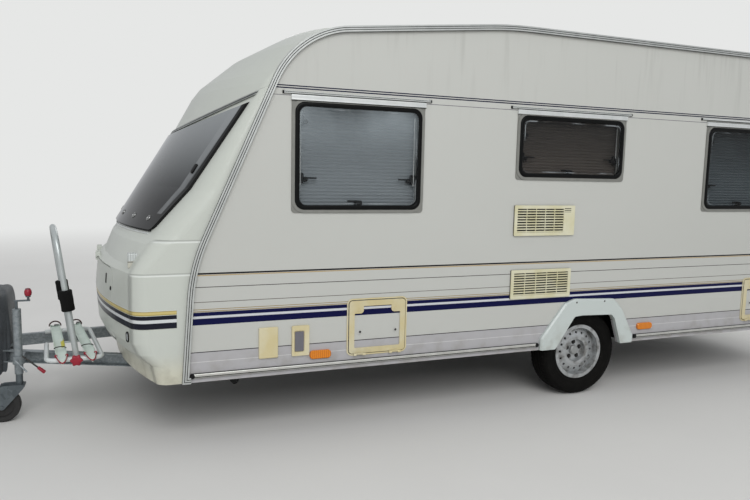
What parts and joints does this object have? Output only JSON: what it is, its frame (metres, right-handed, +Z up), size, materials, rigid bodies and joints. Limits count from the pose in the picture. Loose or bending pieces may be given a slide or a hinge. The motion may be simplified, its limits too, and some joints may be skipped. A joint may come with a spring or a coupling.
{
  "type": "travel caravan",
  "caption": "Single-axle travel caravan with a raked moulded front, hinged lids, door and hatch, corner steadies, jockey wheel and a covered hitch.",
  "frame": {"origin": "on the ground, in the middle of the overall length and width", "axes": "+X forward to the hitch, +Y to the left side, +Z up"},
  "size_m": [6.9899, 2.256, 2.62],
  "materials": {
    "wall": "satin",
    "moulding": "gloss",
    "black_plastic": "matte",
    "grey_plastic": "matte",
    "cream_plastic": "satin",
    "plywood": "matte",
    "aluminium": "satin",
    "tinted_acrylic": "gloss",
    "blind_fabric": "matte",
    "orange_lens": "gloss",
    "clear_lens": "gloss",
    "red_lens": "gloss",
    "galvanised": "satin",
    "black_steel": "satin",
    "cast_iron": "matte",
    "wheel_silver": "satin",
    "tyre": "matte",
    "rubber": "matte",
    "cover_cloth": "matte"
  },
  "bodies": {
    "caravan": {"side_wall_left": "wall", "side_wall_right": "wall", "roof_panel": "wall", "front_moulding": "moulding", "front_roof_moulding": "moulding", "rear_moulding": "moulding", "gas_locker_tub": "black_plastic", "floor_panel": "plywood", "wheel_boxes": "black_plastic", "wheel_spats": "moulding", "awning_rails": "aluminium", "sill_rails": "aluminium", "drip_strips": "aluminium", "cross_strip": "black_plastic", "window_frames": "grey_plastic", "side_windows": "tinted_acrylic", "front_window": "tinted_acrylic", "rear_window": "tinted_acrylic", "window_blinds": "blind_fabric", "entrance_frame": "aluminium", "service_frames": "cream_plastic", "fridge_vents": "cream_plastic", "inlet_boxes": "cream_plastic", "side_markers": "orange_lens", "front_markers": "clear_lens", "rear_lamps": "red_lens", "roof_hatch_frame": "moulding", "chassis_frame": "galvanised", "drawbar": "galvanised", "axle_tube": "black_steel", "overrun_housing": "galvanised", "shaft_bellows": "rubber", "coupling_head": "galvanised", "jockey_clamp": "galvanised", "jockey_crank": "galvanised", "rack_channels": "aluminium", "rack_hoop": "aluminium", "hitch_cover": "cover_cloth", "steady_brackets": "galvanised"},
    "wheel_left": {"tyre_left": "tyre", "rim_left": "wheel_silver", "brake_drum_left": "cast_iron"},
    "wheel_right": {"tyre_right": "tyre", "rim_right": "wheel_silver", "brake_drum_right": "cast_iron"},
    "locker_lid": {"gas_locker_lid": "moulding"},
    "door": {"entrance_door": "wall", "door_window": "tinted_acrylic"},
    "front_service_door": {"service_door_front": "cream_plastic"},
    "rear_service_door": {"service_door_rear": "cream_plastic"},
    "hatch_lid": {"roof_hatch_lid": "moulding"},
    "brake_lever": {"handbrake_lever": "black_steel"},
    "jockey_leg": {"jockey_inner_tube": "galvanised"},
    "jockey_castor": {"jockey_fork": "galvanised"},
    "jockey_roller": {"jockey_wheel": "rubber"},
    "steady_fl": {"steady_front_left": "galvanised"},
    "steady_fr": {"steady_front_right": "galvanised"},
    "steady_rl": {"steady_rear_left": "galvanised"},
    "steady_rr": {"steady_rear_right": "galvanised"}
  },
  "joints": [
    {"name": "wheel_left_spin", "type": "hinge", "parent": "caravan", "child": "wheel_left", "pos_m": [-1.095, 0.9655, 0.312], "axis": [0, 1, 0], "continuous": true},
    {"name": "wheel_right_spin", "type": "hinge", "parent": "caravan", "child": "wheel_right", "pos_m": [-1.095, -0.9655, 0.312], "axis": [0, 1, 0], "continuous": true},
    {"name": "locker_lid_hinge", "type": "hinge", "parent": "caravan", "child": "locker_lid", "pos_m": [2.083, 0, 0.985], "axis": [0, -1, 0], "range_deg": [0, 16]},
    {"name": "door_hinge", "type": "hinge", "parent": "caravan", "child": "door", "pos_m": [0.129, -1.112, 1.3], "axis": [0, 0, 1], "range_deg": [0, 165]},
    {"name": "front_service_hinge", "type": "hinge", "parent": "caravan", "child": "front_service_door", "pos_m": [0.49, 1.115, 0.456], "axis": [-1, 0, 0], "range_deg": [0, 110]},
    {"name": "rear_service_hinge", "type": "hinge", "parent": "caravan", "child": "rear_service_door", "pos_m": [-2.791, 1.115, 0.461], "axis": [-1, 0, 0], "range_deg": [0, 110]},
    {"name": "hatch_hinge", "type": "hinge", "parent": "caravan", "child": "hatch_lid", "pos_m": [-1.692, 0, 2.585], "axis": [0, -1, 0], "range_deg": [0, 60]},
    {"name": "handbrake_pivot", "type": "hinge", "parent": "caravan", "child": "brake_lever", "pos_m": [2.925, 0.06, 0.476], "axis": [0, 1, 0], "range_deg": [0, 70]},
    {"name": "jockey_slide", "type": "slide", "parent": "caravan", "child": "jockey_leg", "axis": [0, 0, 1], "range_m": [-0.1, 0.055]},
    {"name": "jockey_swivel", "type": "hinge", "parent": "jockey_leg", "child": "jockey_castor", "pos_m": [2.53, 0.345, 0.225], "axis": [0, 0, 1], "continuous": true},
    {"name": "jockey_wheel_spin", "type": "hinge", "parent": "jockey_castor", "child": "jockey_roller", "pos_m": [2.625, 0.345, 0.1], "axis": [0, 1, 0], "continuous": true},
    {"name": "steady_fl_pivot", "type": "hinge", "parent": "caravan", "child": "steady_fl", "pos_m": [0.855, 0.76, 0.335], "axis": [0, 1, 0], "range_deg": [0, 46]},
    {"name": "steady_fr_pivot", "type": "hinge", "parent": "caravan", "child": "steady_fr", "pos_m": [0.855, -0.76, 0.335], "axis": [0, 1, 0], "range_deg": [0, 46]},
    {"name": "steady_rl_pivot", "type": "hinge", "parent": "caravan", "child": "steady_rl", "pos_m": [-2.795, 0.76, 0.335], "axis": [0, -1, 0], "range_deg": [0, 46]},
    {"name": "steady_rr_pivot", "type": "hinge", "parent": "caravan", "child": "steady_rr", "pos_m": [-2.795, -0.76, 0.335], "axis": [0, -1, 0], "range_deg": [0, 46]}
  ]
}
